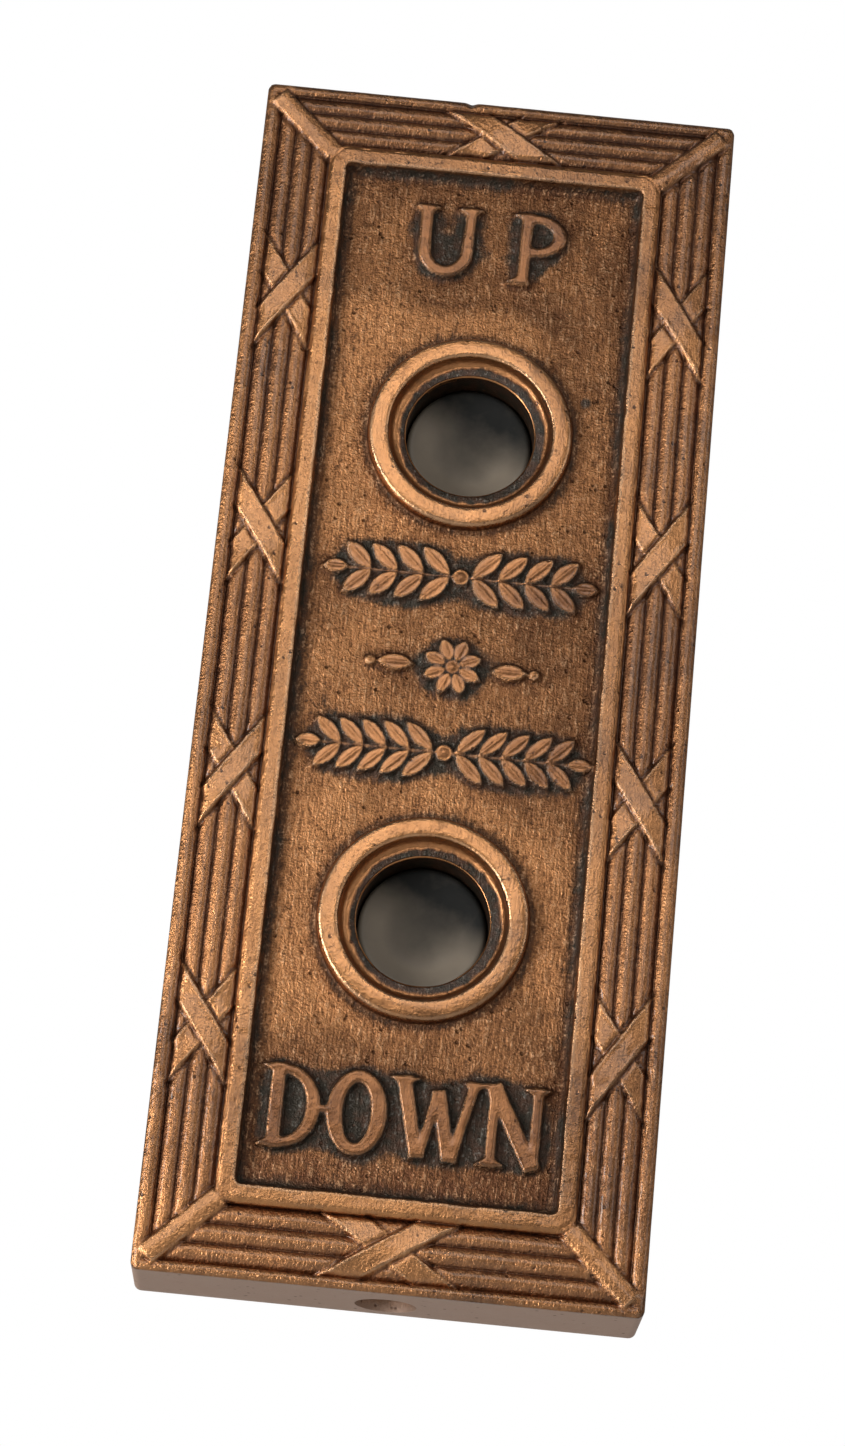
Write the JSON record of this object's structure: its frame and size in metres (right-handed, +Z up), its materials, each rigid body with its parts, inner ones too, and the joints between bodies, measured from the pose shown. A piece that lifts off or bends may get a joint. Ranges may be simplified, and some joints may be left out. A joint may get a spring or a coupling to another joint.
{
  "type": "elevator call button panel",
  "caption": "Deep cast bronze hall call plate with a reed and ribbon border, ringed finger openings and sprung recessed push buttons with contact units behind.",
  "frame": {"origin": "middle of the wall face, on the centre of the four wall screw holes", "axes": "+Z up the plate, +X to the right as a person faces it, -Y out of the wall towards the person"},
  "size_m": [0.089, 0.0403, 0.229],
  "materials": {
    "cast_bronze": "cast bronze, polished on the high spots, brown and green-black in the hollows",
    "button_black": "smooth dark grey moulding, satin",
    "block_black": "moulded black, dull",
    "turned_brass": "turned brass, aged",
    "plated_steel": "zinc plated sheet steel, dulled",
    "spring_steel": "bright drawn wire",
    "contact_copper": "rolled copper strip, slightly tarnished",
    "red_fibre": "vulcanised fibre, matt"
  },
  "bodies": {
    "panel": {"cover": "cast_bronze", "back_plate": "plated_steel", "cover_screw": "turned_brass", "return_spring_upper": "spring_steel", "guide_bushing_upper": "turned_brass", "bushing_nut_upper": "turned_brass", "bridge_upper": "plated_steel", "contact_block_upper": "block_black", "left_contact_upper": "contact_copper", "right_contact_upper": "contact_copper", "terminal_screws_upper": "turned_brass", "terminal_washers_upper": "turned_brass", "block_screws_upper": "plated_steel", "return_spring_lower": "spring_steel", "guide_bushing_lower": "turned_brass", "bushing_nut_lower": "turned_brass", "bridge_lower": "plated_steel", "contact_block_lower": "block_black", "left_contact_lower": "contact_copper", "right_contact_lower": "contact_copper", "terminal_screws_lower": "turned_brass", "terminal_washers_lower": "turned_brass", "block_screws_lower": "plated_steel"},
    "upper_button": {"button_upper": "button_black", "plunger_upper": "turned_brass", "contact_disc_upper": "contact_copper", "insulating_bush_upper": "red_fibre", "insulating_washer_upper": "red_fibre", "plunger_nut_upper": "turned_brass"},
    "lower_button": {"button_lower": "button_black", "plunger_lower": "turned_brass", "contact_disc_lower": "contact_copper", "insulating_bush_lower": "red_fibre", "insulating_washer_lower": "red_fibre", "plunger_nut_lower": "turned_brass"}
  },
  "joints": [
    {"name": "upper_button_press", "type": "slide", "parent": "panel", "child": "upper_button", "axis": [0, 1, 0], "range_m": [0, 0.003], "stiffness_N_per_m": 500, "springref_m": -0.003, "deforming": ["return_spring_upper"]},
    {"name": "lower_button_press", "type": "slide", "parent": "panel", "child": "lower_button", "axis": [0, 1, 0], "range_m": [0, 0.003], "stiffness_N_per_m": 500, "springref_m": -0.003, "deforming": ["return_spring_lower"]}
  ]
}
